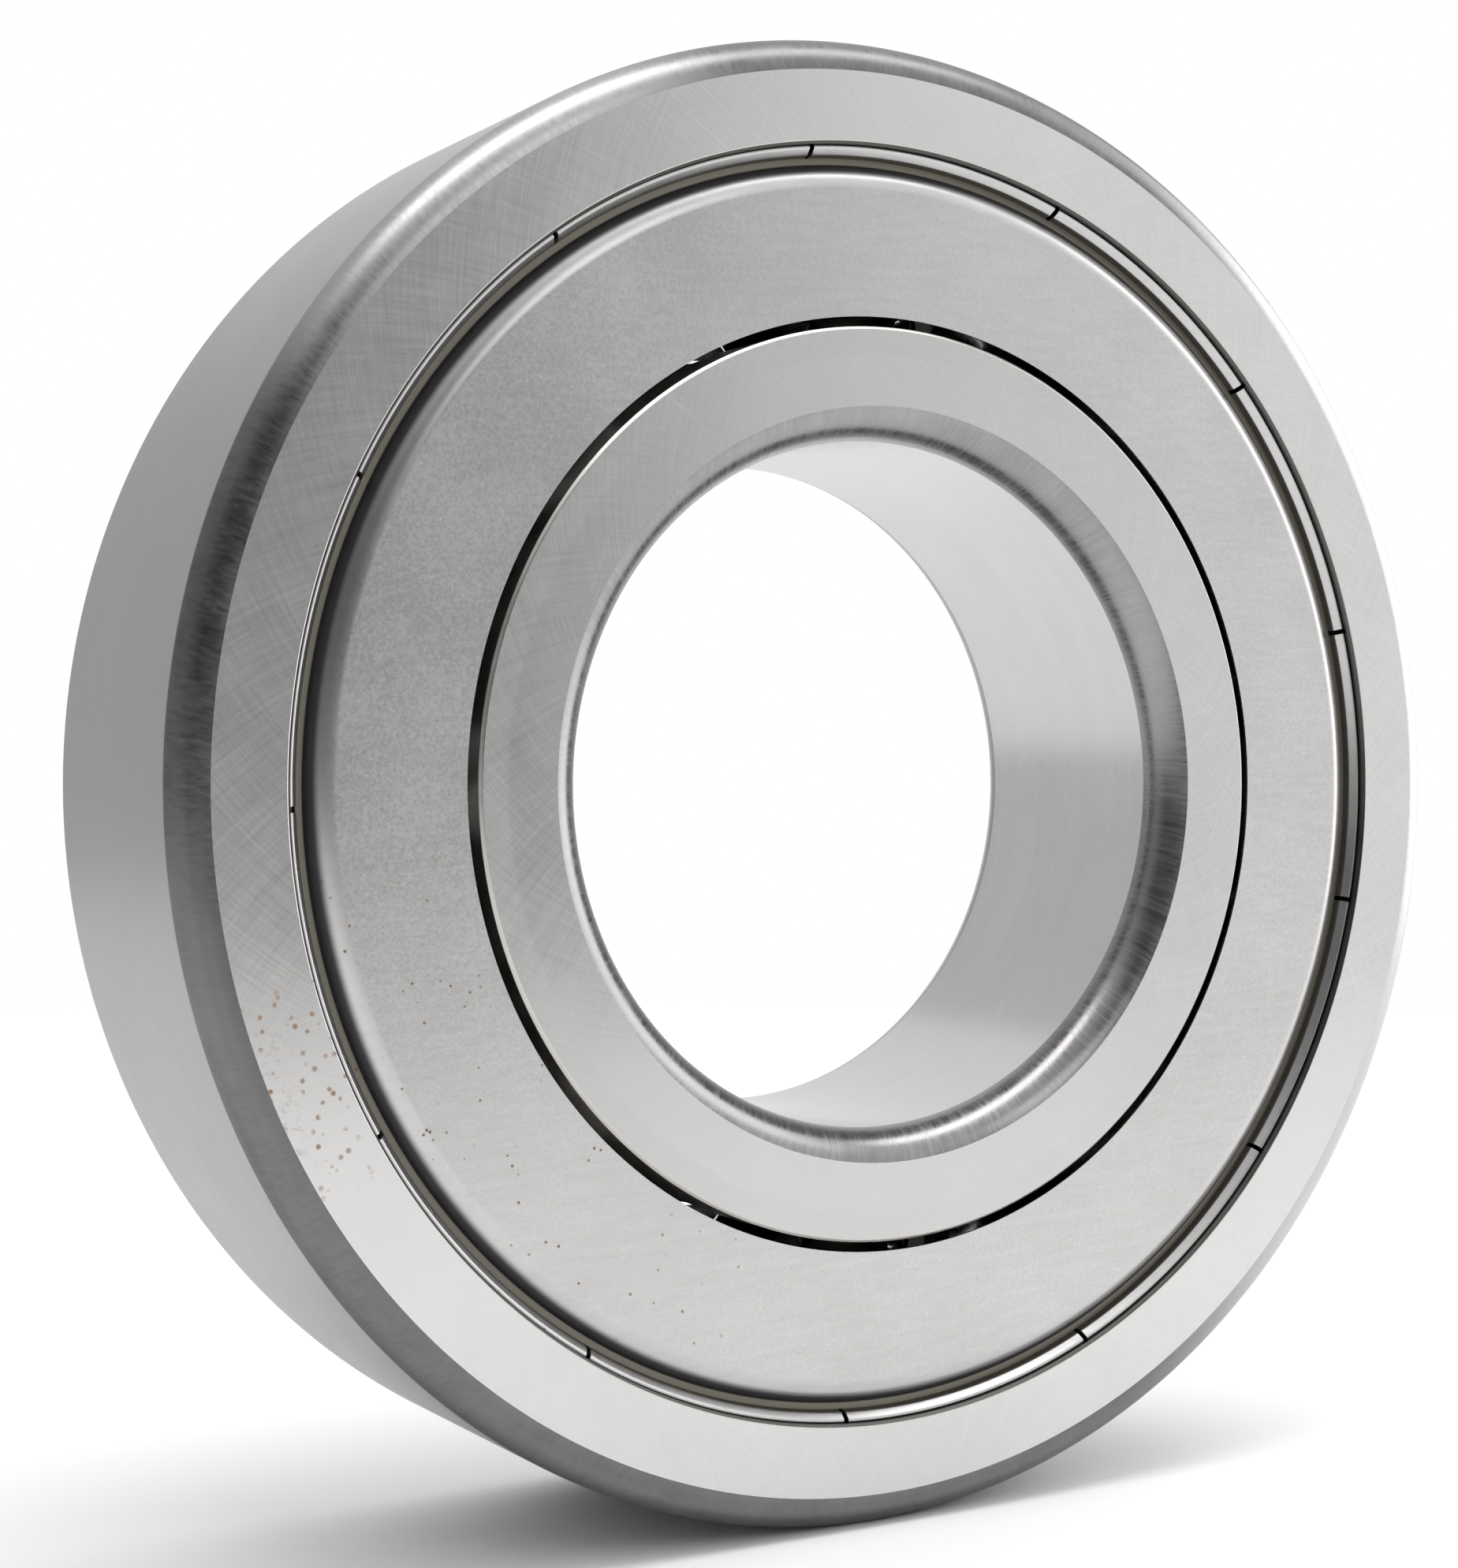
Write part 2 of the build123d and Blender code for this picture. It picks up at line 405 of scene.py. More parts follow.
@dataclass(frozen=True)
class TurnedGroove:
    """A seat, land or recess wall, left with the turning tool's lines."""

    name: str
    level: float = 0.5
    roughness: float = 0.34

    def material(self) -> bpy.types.Material:
        """Return the finish as a material."""
        sheet = SteelSheet(self.name)
        lines = sheet.noise(sheet.hoops(1.5), 3.0, 3.0, 0.7)
        film = sheet.noise(sheet.place, 0.3, 3.0)
        colour = sheet.blend(
            ((lines - 0.5) * 0.7 + (film - 0.5) * 0.9 + 0.5).smooth(0.0, 1.0),
            (self.level * 0.86, self.level * 0.82, self.level * 0.74, 1.0),
            grey(self.level * 1.08, 0.02),
        )
        roughness = self.roughness + (lines - 0.5) * 0.2 + (film - 0.5) * 0.2
        return sheet.finished(colour, roughness, lines, 0.006)


@dataclass(frozen=True)
class HonedRace:
    """A raceway, honed almost to a mirror."""

    name: str
    level: float = 0.68

    def material(self) -> bpy.types.Material:
        """Return the finish as a material."""
        sheet = SteelSheet(self.name)
        lines = sheet.noise(sheet.hoops(1.0), 6.0, 2.0, 0.6)
        track = 1 - self.running_band(sheet)
        tone = track * 0.6 + (lines - 0.5) * 0.5
        colour = sheet.blend(tone, grey(self.level * 0.9), grey(self.level * 1.05))
        roughness = 0.09 + (lines - 0.5) * 0.05 + track * 0.05
        return sheet.finished(colour, roughness, lines, 0.0006)

    def running_band(self, sheet: SteelSheet) -> Value:
        """Return the band where the balls have run, 1 in the middle of the raceway."""
        return sheet.y.window(-3.2, 3.2, 0.7)


@dataclass(frozen=True)
class PressedShieldSteel:
    """Cold-rolled sheet steel: a sandy fine grain, faint handling marks, a few rust dots and painted shade in
    the channel.
    """

    name: str
    side: int
    half_width: float
    crown_radius: float
    level: float = 0.54
    roughness: float = 0.27

    def material(self) -> bpy.types.Material:
        """Return the finish as a material."""
        sheet = SteelSheet(self.name)
        sand = sheet.noise(sheet.place, 2.6, 4.0, 0.7)
        rolled = sheet.noise(sheet.slant(4.0, 0.12, 2.0), 1.4, 2.0)
        cloud = sheet.noise(sheet.place, 0.09, 3.0)
        pressed = sheet.radius.smooth(self.crown_radius - 4.8, self.crown_radius - 3.6)
        grain = 1 - pressed * 0.6
        tone = (sand - 0.5) * grain * 0.9 + (rolled - 0.5) * 0.4 + (cloud - 0.5) * 0.5 + 0.5
        dark, light = grey(self.level * 0.86, 0.015), grey(self.level * 1.1, 0.01)
        colour = sheet.blend(tone.smooth(0.0, 1.0), dark, light)
        # Painted shade: the channel and the lip's inner wall darken with depth, towards near black in the
        # channel and dark olive grey towards the lip; the same mask also makes them rougher.
        depth = self.half_width - sheet.y * self.side
        lip = sheet.radius.smooth(self.crown_radius - 1.9, self.crown_radius - 1.6)
        painted_channel_shade = (depth.smooth(0.75, 1.3) * (1 - lip) + depth.smooth(1.2, 1.7) * lip) * pressed
        channel_shade_colour = sheet.blend(lip, (0.05, 0.05, 0.055, 1.0), (0.19, 0.175, 0.14, 1.0))
        colour = sheet.blend(painted_channel_shade * 0.93, colour, channel_shade_colour)
        rust = self.rust(sheet)
        colour = sheet.blend(rust, colour, (0.16, 0.09, 0.05, 1.0))
        roughness = (
            self.roughness + (sand - 0.5) * grain * 0.22 + (cloud - 0.5) * 0.1 + pressed * 0.03
            + painted_channel_shade * 0.25 + rust * 0.4
        )
        return sheet.finished(colour, roughness, sand * grain + rolled * 0.3, 0.006, 1 - rust * 0.8)

    def rust(self, sheet: SteelSheet) -> Value:
        """Return pin-head rust dots, thickest low on the left of the disc."""
        dots = 1 - sheet.cells(sheet.place, 0.75).smooth(0.07, 0.15)
        spread = sheet.noise(sheet.place, 0.3, 2.0).smooth(0.44, 0.58)
        return dots * spread * (sheet.sector(205, 262, 14) * 0.85 + 0.08)


@dataclass(frozen=True)
class LappedBallSteel:
    """A lapped ball: a mirror with hair-fine scratches that run every way."""

    name: str = "lapped_ball_steel"

    def material(self) -> bpy.types.Material:
        """Return the finish as a material."""
        sheet = SteelSheet(self.name)
        haze = sheet.noise(sheet.place, 0.25, 3.0)
        hairs = sheet.noise(sheet.slant(33.0, 0.1, 1.0), 5.0, 1.0) * 0.5
        hairs = hairs + sheet.noise(sheet.slant(-41.0, 0.1, 8.0), 5.0, 1.0) * 0.5
        colour = sheet.blend(haze.smooth(0.3, 0.7), grey(0.66, 0.01), grey(0.74))
        roughness = 0.05 + (haze - 0.5) * 0.05 + hairs.smooth(0.55, 0.7) * 0.08
        return sheet.finished(colour, roughness, hairs, 0.0004)


@dataclass(frozen=True)
class PressedCageSteel:
    """The cage's soft pressed strip, tumbled and lightly oiled; its dark tone is painted shade for the narrow
    gap it is seen through.
    """

    name: str = "pressed_cage_steel"
    level: float = 0.24

    def material(self) -> bpy.types.Material:
        """Return the finish as a material."""
        sheet = SteelSheet(self.name)
        peen = sheet.noise(sheet.place, 1.6, 3.0, 0.6)
        oil = sheet.noise(sheet.place, 0.15, 3.0)
        tone = ((peen - 0.5) * 0.8 + (oil - 0.5) * 0.9 + 0.5).smooth(0.0, 1.0)
        # Painted shade: the cage is kept dark so that the gap between the inner ring and the shield reads
        # black.
        colour = sheet.blend(tone, (0.17, 0.155, 0.135, 1.0), grey(self.level * 1.15, 0.02))
        roughness = 0.36 + (peen - 0.5) * 0.24 + (oil - 0.5) * 0.2
        return sheet.finished(colour, roughness, peen, 0.012)


@dataclass(frozen=True)
class RivetSteel:
    """A headed rivet, burnished where the tool closed it."""

    name: str = "headed_rivet_steel"

    def material(self) -> bpy.types.Material:
        """Return the finish as a material."""
        sheet = SteelSheet(self.name)
        dents = sheet.noise(sheet.place, 2.2, 3.0, 0.6)
        film = sheet.noise(sheet.place, 0.5, 2.0)
        colour = sheet.blend(dents.smooth(0.3, 0.7), grey(0.46, 0.03), grey(0.6, 0.01))
        roughness = 0.27 + (dents - 0.5) * 0.24 + (film - 0.5) * 0.12
        return sheet.finished(colour, roughness, dents, 0.01)


# Meshes


class Outline:
    """A ring's section, drawn as a chain of edges, with X as the radius and Y as the axial place."""

    def __init__(self, start: Point) -> None:
        """Put down the first point."""
        self.mesh = bmesh.new()
        self.tip = self.mesh.verts.new((*start, 0.0))
        self.breaks: dict[bmesh.types.BMVert, float] = {}

    def line_to(self, end: Point, edge_break: float = 0.0) -> "Outline":
        """Run straight to a point, and break the corner there by a small radius."""
        vert = self.mesh.verts.new((*end, 0.0))
        self.mesh.edges.new((self.tip, vert))
        self.tip = vert
        if edge_break:
            self.breaks[vert] = edge_break
        return self

    def arc_to(self, end: Point, centre: Point, steps: int, edge_break: float = 0.0) -> "Outline":
        """Run round an arc, the short way, to a point.

        Args:
            end: where the arc ends.
            centre: the arc's centre.
            steps: facets along the arc.
            edge_break: radius that breaks the corner at the end.
        """
        begin = self.tip.co.copy()
        first_turn = math.atan2(begin.y - centre[1], begin.x - centre[0])
        last_turn = math.atan2(end[1] - centre[1], end[0] - centre[0])
        sweep = math.remainder(last_turn - first_turn, math.tau)
        made = bmesh.ops.spin(
            self.mesh, geom=[self.tip], cent=(*centre, 0.0), axis=(0, 0, 1), angle=sweep, steps=steps
        )
        self.tip = next(item for item in made["geom_last"] if isinstance(item, bmesh.types.BMVert))
        if edge_break:
            self.breaks[self.tip] = edge_break
        return self

    def break_corners(self) -> None:
        """Round every corner that was given an edge break."""
        for vert, reach in self.breaks.items():
            bmesh.ops.bevel(
                self.mesh, geom=[vert], offset=reach, offset_type="OFFSET", segments=EDGE_SEGMENTS,
                profile=0.5, affect="VERTICES", material=-1,
            )
        self.breaks.clear()

    def mirrored(self) -> None:
        """Add the rear half as the mirror image of the front half."""
        geometry = self.mesh.verts[:] + self.mesh.edges[:]
        bmesh.ops.mirror(self.mesh, geom=geometry, axis="Y", merge_dist=JOIN_DISTANCE)

    def spun(self, steps: int) -> bmesh.types.BMesh:
        """Turn the outline round the Y axis into a closed surface."""
        geometry = self.mesh.verts[:] + self.mesh.edges[:]
        bmesh.ops.spin(
            self.mesh, geom=geometry, cent=(0, 0, 0), axis=(0, 1, 0), angle=math.tau, steps=steps,
            use_merge=True,
        )
        bmesh.ops.remove_doubles(self.mesh, verts=self.mesh.verts[:], dist=JOIN_DISTANCE)
        return self.mesh


def arc_centre(start: Point, end: Point, radius: float, side: int) -> Point:
    """Return the centre of an arc of a given radius through two points.

    Args:
        start: the first point.
        end: the second point.
        radius: the arc's radius.
        side: 1 if the centre is left of the way from start to end, -1 if it is right of it.
    """
    across = (end[0] - start[0], end[1] - start[1])
    chord = math.hypot(*across)
    rise = math.sqrt(radius**2 - (chord / 2) ** 2) / chord
    return (
        (start[0] + end[0]) / 2 - side * across[1] * rise,
        (start[1] + end[1]) / 2 + side * across[0] * rise,
    )


def mark_sharp_edges(mesh: bmesh.types.BMesh, sharp: float) -> None:
    """Shade a mesh smooth, except over the edges that turn by more than an angle."""
    for face in mesh.faces:
        face.smooth = True
    for edge in mesh.edges:
        edge.smooth = len(edge.link_faces) == 2 and edge.calc_face_angle() < sharp


def finished_piece(mesh: bmesh.types.BMesh, name: str, sharp: float = SHARP_ANGLE) -> bpy.types.Object:
    """Scale a mesh to metres and put it in the scene.

    Args:
        mesh: the shape, in millimetres, which is freed.
        name: the piece's name.
        sharp: the angle from which an edge stays crisp, in radians.

    Returns:
        The piece, at the origin.
    """
    bmesh.ops.recalc_face_normals(mesh, faces=mesh.faces[:])
    mark_sharp_edges(mesh, sharp)
    bmesh.ops.scale(mesh, vec=(MM, MM, MM), verts=mesh.verts[:])
    data = bpy.data.meshes.new(name)
    mesh.to_mesh(data)
    mesh.free()
    piece = bpy.data.objects.new(name, data)
    bpy.context.scene.collection.objects.link(piece)
    flats_first = piece.modifiers.new("even_shading", "WEIGHTED_NORMAL")
    flats_first.keep_sharp = True
    flats_first.weight = 100
    return piece


def dress(
    piece: bpy.types.Object, finishes: list[bpy.types.Material], choose: Callable[[float, float], int]
) -> None:
    """Give each face of a piece its finish.

    Args:
        piece: the piece.
        finishes: its materials.
        choose: returns the number of the finish for a radius and a distance from mid-width.
    """
    for finish in finishes:
        piece.data.materials.append(finish)
    for face in piece.data.polygons:
        x, y, z = (part / MM for part in face.center)
        face.material_index = choose(math.hypot(x, z), abs(y))


def stands_for(piece: bpy.types.Object, node: str, body: str) -> None:
    """Let a piece stand for a node of the frame, and report it."""
    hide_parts(node)
    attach(piece, body)
    log.info("%s stands for %s on %s, %d faces", piece.name, node, body, len(piece.data.polygons))


# Sub-assemblies


class RingZone(Enum):
    """The differently finished places of a ring."""

    FACE = 0
    CORNER = 1
    CYLINDER = 2
    GROOVE = 3
    RACE = 4


@dataclass
class OuterRing:
    """The outer ring, with its raceway and a stepped seat for a shield at each side."""

    outside_radius: float
    half_width: float
    recess_radius: float = 64.3
    land_radius: float = 63.0
    seat_depth: float = 2.43
    corner_radial: float = 3.4
    corner_axial: float = 2.6
    corner_radius: float = 4.2
    chamfer: float = 0.3
    wall_depth: float = 0.65
    groove_depth: float = 0.75
    groove_slope: float = 0.4
    race_radius: float = 13.335
    race_bottom: float = 67.75
    edge_break: float = 0.07
    corner_steps: int = 20
    race_steps: int = 22

    def build(self) -> bpy.types.Object:
        """Build, dress and place the ring."""
        side = -self.half_width
        corner_start = (self.outside_radius, side + self.corner_axial)
        corner_end = (self.outside_radius - self.corner_radial, side)
        corner_centre = arc_centre(corner_start, corner_end, self.corner_radius, -1)
        groove_radius = self.recess_radius + self.groove_depth
        race_centre = (self.race_bottom - self.race_radius, 0.0)
        race_edge = -math.sqrt(self.race_radius**2 - (self.land_radius - race_centre[0]) ** 2)
        outline = Outline((self.outside_radius, 0.0))
        outline.line_to(corner_start, self.edge_break * 2)
        outline.arc_to(corner_end, corner_centre, self.corner_steps)
        outline.line_to((self.recess_radius + self.chamfer, side), self.edge_break)
        outline.line_to((self.recess_radius, side + self.chamfer), self.edge_break)
        outline.line_to((self.recess_radius, side + self.wall_depth), self.edge_break)
        outline.line_to((groove_radius, side + self.wall_depth + self.groove_slope))
        outline.line_to((groove_radius, side + self.seat_depth))
        outline.line_to((self.land_radius, side + self.seat_depth), self.edge_break)
        outline.line_to((self.land_radius, race_edge), self.edge_break)
        outline.arc_to((self.race_bottom, 0.0), race_centre, self.race_steps)
        outline.break_corners()
        outline.mirrored()
        piece = finished_piece(outline.spun(RING_STEPS), "outer_ring_finished")
        corner_middle = self.outside_radius - self.corner_radial / 2
        finishes = [
            GroundFace("ground_outer_face", self.recess_radius, corner_end[0], rusty=True).material(),
            TurnedCorner("turned_outer_corner", corner_middle, painted_highlight_level=0.7).material(),
            GroundCylinder("ground_outside", level=0.33, roughness=0.34).material(),
            # Painted shade: the recess wall, groove, seat and land are made near black, level 0.1, for the
            # shade inside the shield's recess.
            TurnedGroove("turned_outer_recess", level=0.1).material(),
            HonedRace("honed_outer_race").material(),
        ]
        dress(piece, finishes, self.zone)
        stands_for(piece, "outer_ring", "outer")
        return piece

    def zone(self, radius: float, depth: float) -> int:
        """Return the number of the finish at a radius and a distance from mid-width."""
        flat = self.half_width - self.edge_break / 4
        if depth > flat and radius < self.outside_radius - self.corner_radial:
            return RingZone.FACE.value
        if radius > self.outside_radius - self.corner_radial and depth > self.half_width - self.corner_axial:
            return RingZone.CORNER.value
        if radius > self.race_bottom + 1:
            return RingZone.CYLINDER.value
        if radius > self.land_radius + self.edge_break and depth < self.race_radius - 3:
            return RingZone.RACE.value
        return RingZone.GROOVE.value


@dataclass
class InnerRing:
    """The inner ring, with its bore and raceway."""

    shoulder_radius: float
    half_width: float
    bore_radius: float
    corner_radial: float = 3.2
    corner_axial: float = 3.8
    corner_radius: float = 4.6
    chamfer: float = 0.3
    race_radius: float = 13.081
    race_bottom: float = 42.25
    edge_break: float = 0.07
    corner_steps: int = 20
    race_steps: int = 22

    def build(self) -> bpy.types.Object:
        """Build, dress and place the ring."""
        side = -self.half_width
        corner_start = (self.bore_radius, side + self.corner_axial)
        corner_end = (self.bore_radius + self.corner_radial, side)
        corner_centre = arc_centre(corner_start, corner_end, self.corner_radius, 1)
        race_centre = (self.race_bottom + self.race_radius, 0.0)
        race_edge = -math.sqrt(self.race_radius**2 - (race_centre[0] - self.shoulder_radius) ** 2)
        outline = Outline((self.bore_radius, 0.0))
        outline.line_to(corner_start, self.edge_break * 2)
        outline.arc_to(corner_end, corner_centre, self.corner_steps)
        outline.line_to((self.shoulder_radius - self.chamfer, side), self.edge_break)
        outline.line_to((self.shoulder_radius, side + self.chamfer), self.edge_break)
        outline.line_to((self.shoulder_radius, race_edge), self.edge_break)
        outline.arc_to((self.race_bottom, 0.0), race_centre, self.race_steps)
        outline.break_corners()
        outline.mirrored()
        piece = finished_piece(outline.spun(RING_STEPS), "inner_ring_finished")
        corner_middle = self.bore_radius + self.corner_radial / 2
        finishes = [
            GroundFace(
                "ground_inner_face", corner_end[0], self.shoulder_radius,
                level=0.55, rim_start=43.3, rim_roughness=0.04,
            ).material(),
            TurnedCorner("turned_bore_corner", corner_middle, level=0.3, roughness=0.27).material(),
            GroundCylinder("ground_bore", level=0.53).material(),
            TurnedGroove("turned_inner_shoulder", level=0.56).material(),
            HonedRace("honed_inner_race").material(),
        ]
        dress(piece, finishes, self.zone)
        stands_for(piece, "inner_ring", "inner")
        return piece

    def zone(self, radius: float, depth: float) -> int:
        """Return the number of the finish at a radius and a distance from mid-width."""
        flat = self.half_width - self.edge_break / 4
        if depth > flat and radius > self.bore_radius + self.corner_radial:
            return RingZone.FACE.value
        if radius < self.bore_radius + self.corner_radial and depth > self.half_width - self.corner_axial:
            return RingZone.CORNER.value
        if radius < self.bore_radius + self.edge_break:
            return RingZone.CYLINDER.value
        if radius < self.shoulder_radius - self.edge_break and depth < self.race_radius - 3:
            return RingZone.RACE.value
        return RingZone.GROOVE.value


@dataclass
class Shield:
    """One pressed shield: a flat disc, a rolled channel and a slit lip snapped into the outer ring."""

    side: int
    half_width: float
    recess_radius: float
    inner_edge: float
    first_slit: float
    thickness: float = 0.3
    set_back: float = 0.45
    shoulder_inset: float = 2.66
    floor_start_inset: float = 1.875
    floor_end_inset: float = 0.99
    wall_top_inset: float = 0.8
    wall_top_depth: float = 1.42
    crown_inset: float = 0.15
    tip_outset: float = 0.44
    channel_depth: float = 1.66
    crown_set_back: float = 0.57
    lip_drop: float = 1.23
    shoulder_bend: float = 2.7
    fold_bend: float = 0.17
    slit_count: int = 13
    slit_width: float = 0.55
    slit_inset: float = 1.05
    shoulder_steps: int = 16
    fold_steps: int = 6
    crown_steps: int = 9
    slit_steps: int = 2
    sector_steps: int = 24
    sheet_edge: float = 0.04

    def build(self) -> bpy.types.Object:
        """Build, dress and place the shield."""
        outline = self.middle_line()
        self.turn_to_slit(outline)
        mesh = self.slit_sheet(outline)
        name = "shield_front_pressed" if self.side < 0 else "shield_rear_pressed"
        piece = finished_piece(mesh, name)
        self.thicken(piece)
        finish = PressedShieldSteel(name + "_steel", self.side, self.half_width, self.recess_radius)
        piece.data.materials.append(finish.material())
        stands_for(piece, "shield_front" if self.side < 0 else "shield_rear", "outer")
        return piece

    def middle_line(self) -> Outline:
        """Return the line through the middle of the sheet, from the inner edge to the lip's tip."""
        half_sheet = self.thickness / 2
        disc = self.set_back + half_sheet
        floor = disc + self.channel_depth
        crown = self.crown_set_back + half_sheet
        points = [
            (self.inner_edge, disc, 0.0, 0),
            (self.recess_radius - self.shoulder_inset, disc, self.shoulder_bend, self.shoulder_steps),
            (self.recess_radius - self.floor_start_inset, floor, self.fold_bend, self.fold_steps),
            (self.recess_radius - self.floor_end_inset, floor, self.fold_bend, self.fold_steps),
            (self.recess_radius - self.wall_top_inset, self.wall_top_depth, self.fold_bend, 4),
            (self.recess_radius - self.crown_inset, crown, self.fold_bend, self.crown_steps),
            (self.recess_radius + self.tip_outset, crown + self.lip_drop, 0.0, 0),
        ]
        places = [(radius, self.side * (self.half_width - depth)) for radius, depth, _, _ in points]
        outline = Outline(places[0])
        bends = []
        for place, (_, _, bend, steps) in zip(places[1:], points[1:]):
            outline.line_to(place)
            bends.append((outline.tip, bend, steps))
        for vert, bend, steps in bends:
            if not bend:
                continue
            before, after = (edge.other_vert(vert).co - vert.co for edge in vert.link_edges)
            tangent = bend / math.tan(before.angle(after) / 2)
            bmesh.ops.bevel(
                outline.mesh, geom=[vert], offset=tangent, offset_type="OFFSET", segments=steps,
                profile=0.5, affect="VERTICES", material=-1,
            )
        slit_end = (self.recess_radius - self.slit_inset, 0, 0)
        geometry = outline.mesh.verts[:] + outline.mesh.edges[:]
        bmesh.ops.bisect_plane(
            outline.mesh, geom=geometry, dist=JOIN_DISTANCE, plane_co=slit_end, plane_no=(1, 0, 0)
        )
        return outline

    def turn_to_slit(self, outline: Outline) -> None:
        """Turn the outline to the first edge of the first slit."""
        half_slit = self.slit_turn() / 2
        start = math.radians(self.first_slit - 90) - half_slit
        bmesh.ops.rotate(
            outline.mesh, cent=(0, 0, 0), verts=outline.mesh.verts[:],
            matrix=Matrix.Rotation(start, 3, "Y"),
        )

    def slit_turn(self) -> float:
        """Return the angle that a slit takes at the crown, in radians."""
        return self.slit_width / (self.recess_radius - self.crown_inset)

    def slit_sheet(self, outline: Outline) -> bmesh.types.BMesh:
        """Spin the outline sector by sector, and leave the lip open at each slit."""
        mesh = outline.mesh
        rim = mesh.verts[:] + mesh.edges[:]
        tongue_turn = math.tau / self.slit_count - self.slit_turn()
        turns = ((self.slit_turn(), self.slit_steps), (tongue_turn, self.sector_steps))
        open_lip = []
        for _ in range(self.slit_count):
            for turn, steps in turns:
                known = set(mesh.faces)
                made = bmesh.ops.spin(mesh, geom=rim, cent=(0, 0, 0), axis=(0, 1, 0), angle=turn, steps=steps)
                rim = made["geom_last"]
                if steps == self.slit_steps:
                    open_lip += [face for face in mesh.faces if face not in known and self.in_lip(face)]
        bmesh.ops.delete(mesh, geom=open_lip, context="FACES")
        bmesh.ops.remove_doubles(mesh, verts=mesh.verts[:], dist=SEAM_DISTANCE)
        return mesh

    def in_lip(self, face: bmesh.types.BMFace) -> bool:
        """Tell whether a face lies outside the slit's closed end."""
        middle = face.calc_center_median()
        return math.hypot(middle.x, middle.z) > self.recess_radius - self.slit_inset

    def thicken(self, piece: bpy.types.Object) -> None:
        """Give the sheet its thickness, half to each side, and soften its cut edges."""
        wall = piece.modifiers.new("sheet", "SOLIDIFY")
        wall.thickness = self.thickness * MM
        wall.offset = 0.0
        wall.use_even_offset = True
        edge = piece.modifiers.new("sheared_edge", "BEVEL")
        edge.width = self.sheet_edge * MM
        edge.segments = 2
        edge.limit_method = "ANGLE"
        edge.angle_limit = math.radians(40)
        piece.modifiers.move(0, len(piece.modifiers) - 1)


@dataclass
class RollingSet:
    """The balls with the two cage halves and the rivets that hold them."""

    ball_count: int = 8
    ball_rings: int = 32
    crease: float = math.radians(25.0)
    weld_distance: float = 1e-3

    def build(self) -> list[bpy.types.Object]:
        """Build and dress the balls, the cage halves and the rivets."""
        numbers = range(1, self.ball_count + 1)
        ball_finish = LappedBallSteel().material()
        cage_finish = PressedCageSteel().material()
        rivet_finish = RivetSteel().material()
        pieces = [self.ball(f"ball_{number}", ball_finish) for number in numbers]
        for node in ("cage_front_half", "cage_rear_half"):
            pieces.append(self.welded(node, node + "_pressed", cage_finish))
        for number in numbers:
            node = f"rivet_{number}"
            pieces.append(self.welded(node, node + "_headed", rivet_finish))
        return pieces

    def ball(self, node: str, finish: bpy.types.Material) -> bpy.types.Object:
        """Build one ball where the frame has it."""
        low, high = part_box(node)
        mesh = bmesh.new()
        bmesh.ops.create_uvsphere(
            mesh, u_segments=self.ball_rings * 2, v_segments=self.ball_rings,
            radius=(high.y - low.y) / (2 * MM), matrix=Matrix.Translation((low + high) / (2 * MM)),
        )
        piece = finished_piece(mesh, node + "_lapped", self.crease)
        piece.data.materials.append(finish)
        stands_for(piece, node, node)
        return piece

    def welded(self, node: str, name: str, finish: bpy.types.Material) -> bpy.types.Object:
        """Build a smoothly shaded piece from a copy of a node of the cage.

        Args:
            node: the node that is copied.
            name: the new piece's name.
            finish: its material.

        Returns:
            The piece.
        """
        mesh = bmesh.new()
        mesh.from_mesh(frame["nodes"][node].data)
        bmesh.ops.scale(mesh, vec=(1 / MM, 1 / MM, 1 / MM), verts=mesh.verts[:])
        bmesh.ops.remove_doubles(mesh, verts=mesh.verts[:], dist=self.weld_distance)
        piece = finished_piece(mesh, name, self.crease)
        piece.data.materials.clear()
        piece.data.materials.append(finish)
        stands_for(piece, node, "cage")
        return piece


# Studio


@dataclass(frozen=True)
class PaleFloor:
    """A smooth white table top."""

    name: str = "pale_floor"

    def material(self) -> bpy.types.Material:
        """Return the finish as a material."""
        sheet = SteelSheet(self.name)
        cloud = sheet.noise(sheet.place, 0.004, 2.0)
        colour = sheet.blend(cloud, grey(0.9), grey(0.93))
        return sheet.finished(colour, 0.6 + cloud * 0.1, cloud, 0.01, 0.0)


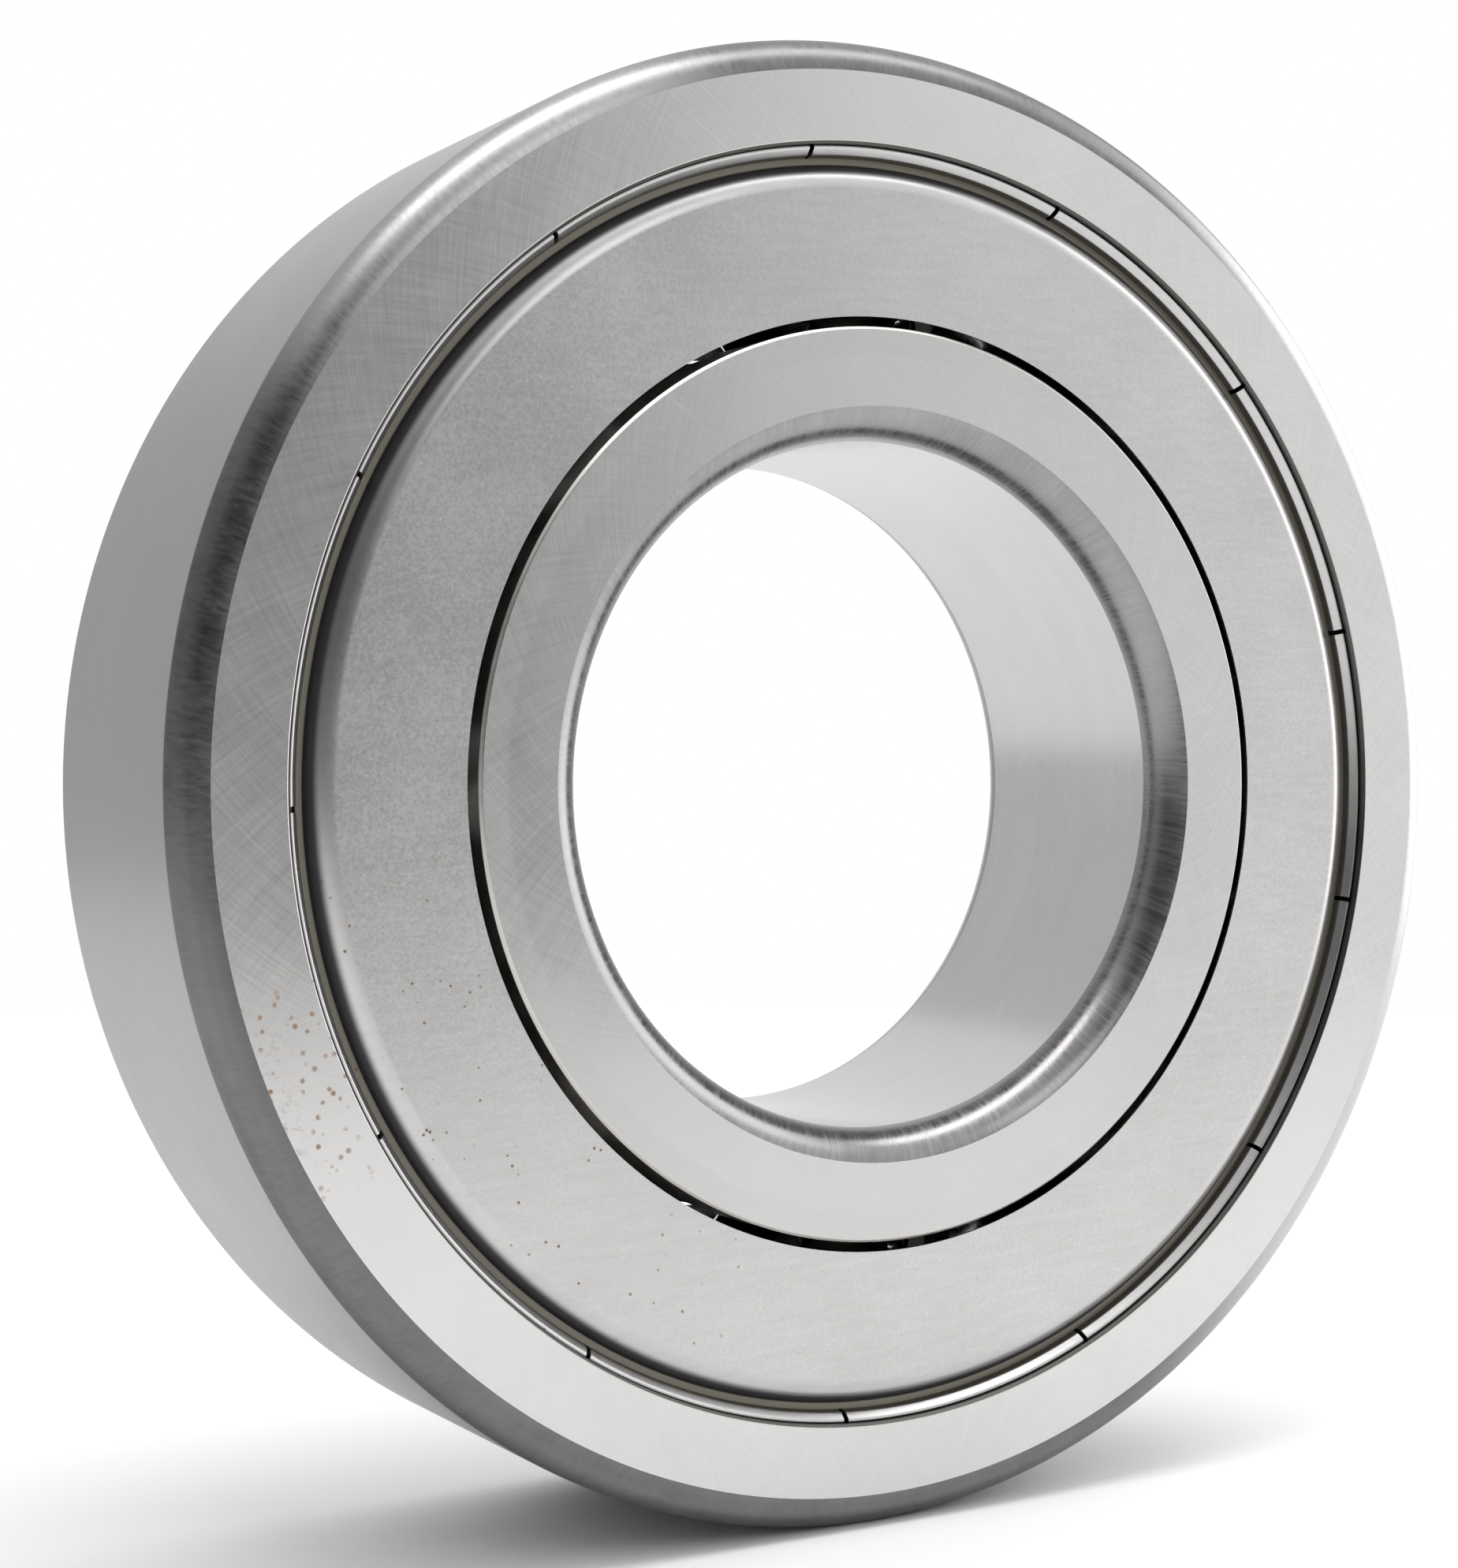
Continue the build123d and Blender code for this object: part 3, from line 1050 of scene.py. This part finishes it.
@dataclass
class Studio:
    """The floor, the lights, the surroundings that the steel mirrors, and the camera.

    Bearings of the surroundings are degrees from straight in front of the front face, positive
    towards +X.
    """

    floor_level: float
    floor_radius: float = 0.62
    floor_steps: int = 96
    camera_bearing: float = -31.98
    camera_distance: float = 0.2792
    camera_yaw: float = 0.55
    camera_roll: float = 0.45
    focal_length: float = 60.0
    sideways_shift: float = -0.065
    dark_level: float = 0.12
    side_level: float = 0.42
    back_level: float = 0.74
    right_level: float = 1.03
    window_level: float = 1.8

    def build(self) -> None:
        """Build the whole studio."""
        self.build_floor()
        self.build_surroundings()
        self.build_lights()
        self.place_camera()
        bpy.context.scene.view_settings.view_transform = "Standard"

    def build_floor(self) -> None:
        """Lay a round white floor under the bearing."""
        mesh = bmesh.new()
        bmesh.ops.create_circle(
            mesh, cap_ends=True, segments=self.floor_steps, radius=self.floor_radius,
            matrix=Matrix.Translation((0, 0, self.floor_level)),
        )
        data = bpy.data.meshes.new("floor")
        mesh.to_mesh(data)
        mesh.free()
        floor = bpy.data.objects.new("floor", data)
        floor.data.materials.append(PaleFloor().material())
        bpy.context.scene.collection.objects.link(floor)
        floor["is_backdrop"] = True

    def build_surroundings(self) -> None:
        """Surround the bearing with a bright room.

        It is dark on the front left, with a tall window on the right and a skylight in front.
        """
        world = bpy.data.worlds.new("studio")
        world.use_nodes = True
        bpy.context.scene.world = world
        sheet = NodeSheet(world.node_tree)
        direction = sheet.value("ShaderNodeTexCoord", output="Generated")
        x, y, z = sheet.parts(direction)
        bearing = sheet.math("ARCTAN2", x, -y) * math.degrees(1)
        height = sheet.math("ARCSINE", z) * math.degrees(1)
        bright_right = bearing.smooth(5, 14) * 0.26 + bearing.smooth(24, 33) * 0.74
        bright_back = 1 - bearing.smooth(-128, -114)
        level = height.smooth(-9, -3) * (1 - height.smooth(30, 52))
        dark = (1 - bright_right) * (1 - bright_back) * level
        shade = self.side_level - bearing.smooth(-78, -52) * (self.side_level - self.dark_level)
        rear_shade = bearing.window(112, 137, 9) * level * 0.5
        rise = self.right_level - self.back_level
        open_light = self.back_level + bearing.smooth(-20, 40) * rise - rear_shade
        window = bearing.window(62, 112, 5) * height.window(-7, 40, 5) * self.window_level
        skylight = bearing.window(2, 24, 3) * height.window(22, 42, 3) * self.window_level
        seen = open_light * (1 - dark) + shade * dark + window + skylight
        shown = sheet.value("ShaderNodeLightPath", output="Is Camera Ray")
        strength = shown + seen * (1 - shown)
        background = sheet.node("ShaderNodeBackground", None, {"Color": grey(1.0), "Strength": strength})
        sheet.node("ShaderNodeOutputWorld", None, {"Surface": background.outputs[0]})

    def build_lights(self) -> None:
        """Hang the soft lights."""
        self.area_light("overhead_strip", (0.08, -0.12, 0.6), (0.75, 0.2), 4.0, mirrored=True)
        self.area_light("floor_wash", (0.0, 0.0, 0.9), (2.8, 2.8), 0.27, mirrored=False)

    def area_light(
        self, name: str, place: tuple[float, float, float], size: tuple[float, float], level: float,
        mirrored: bool,
    ) -> None:
        """Hang a rectangular light that faces down.

        Args:
            name: its name.
            place: its centre, in metres.
            size: its width and depth, in metres.
            level: its brightness, where 1 is the white surroundings.
            mirrored: whether the steel mirrors it.
        """
        lamp = bpy.data.lights.new(name, "AREA")
        lamp.shape = "RECTANGLE"
        lamp.size, lamp.size_y = size
        lamp.energy = level * math.pi * size[0] * size[1]
        light = bpy.data.objects.new(name, lamp)
        light.location = place
        light.visible_glossy = mirrored
        light.visible_camera = False
        bpy.context.scene.collection.objects.link(light)

    def place_camera(self) -> None:
        """Stand the camera on the front left, level with the bearing's axis."""
        lens = bpy.data.cameras.new("camera")
        lens.lens = self.focal_length
        lens.shift_x = self.sideways_shift
        lens.clip_start = 0.01
        camera = bpy.data.objects.new("camera", lens)
        bearing = math.radians(self.camera_bearing)
        camera.location = (
            self.camera_distance * math.sin(bearing), -self.camera_distance * math.cos(bearing), 0.0
        )
        turn = bearing - math.radians(self.camera_yaw)
        camera.matrix_world = (
            Matrix.Translation(camera.location)
            @ Matrix.Rotation(turn, 4, "Z")
            @ Matrix.Rotation(math.radians(90), 4, "X")
            @ Matrix.Rotation(math.radians(self.camera_roll), 4, "Z")
        )
        bpy.context.scene.collection.objects.link(camera)
        bpy.context.scene.camera = camera


def main() -> None:
    """Build the bearing from the outside in, and then the studio."""
    logging.basicConfig(level=logging.INFO, format="%(message)s")
    _, outer_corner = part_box("outer_ring")
    _, inner_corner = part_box("inner_ring")
    mounts = {mount["name"]: mount for mount in frame["record"]["mounts"]}
    half_width = outer_corner.y / MM
    outer_ring = OuterRing(outer_corner.x / MM, half_width)
    inner_ring = InnerRing(inner_corner.x / MM, inner_corner.y / MM, mounts["bore"]["dims"]["r_mm"])
    outer_ring.build()
    inner_ring.build()
    shield_edge = inner_ring.shoulder_radius + SHIELD_RING_GAP
    for side, first_slit in ((-1, FRONT_SLIT), (1, REAR_SLIT)):
        Shield(side, half_width, outer_ring.recess_radius, shield_edge, first_slit).build()
    RollingSet().build()
    low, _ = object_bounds()
    Studio(low.z).build()


if __name__ == "__main__":
    main()
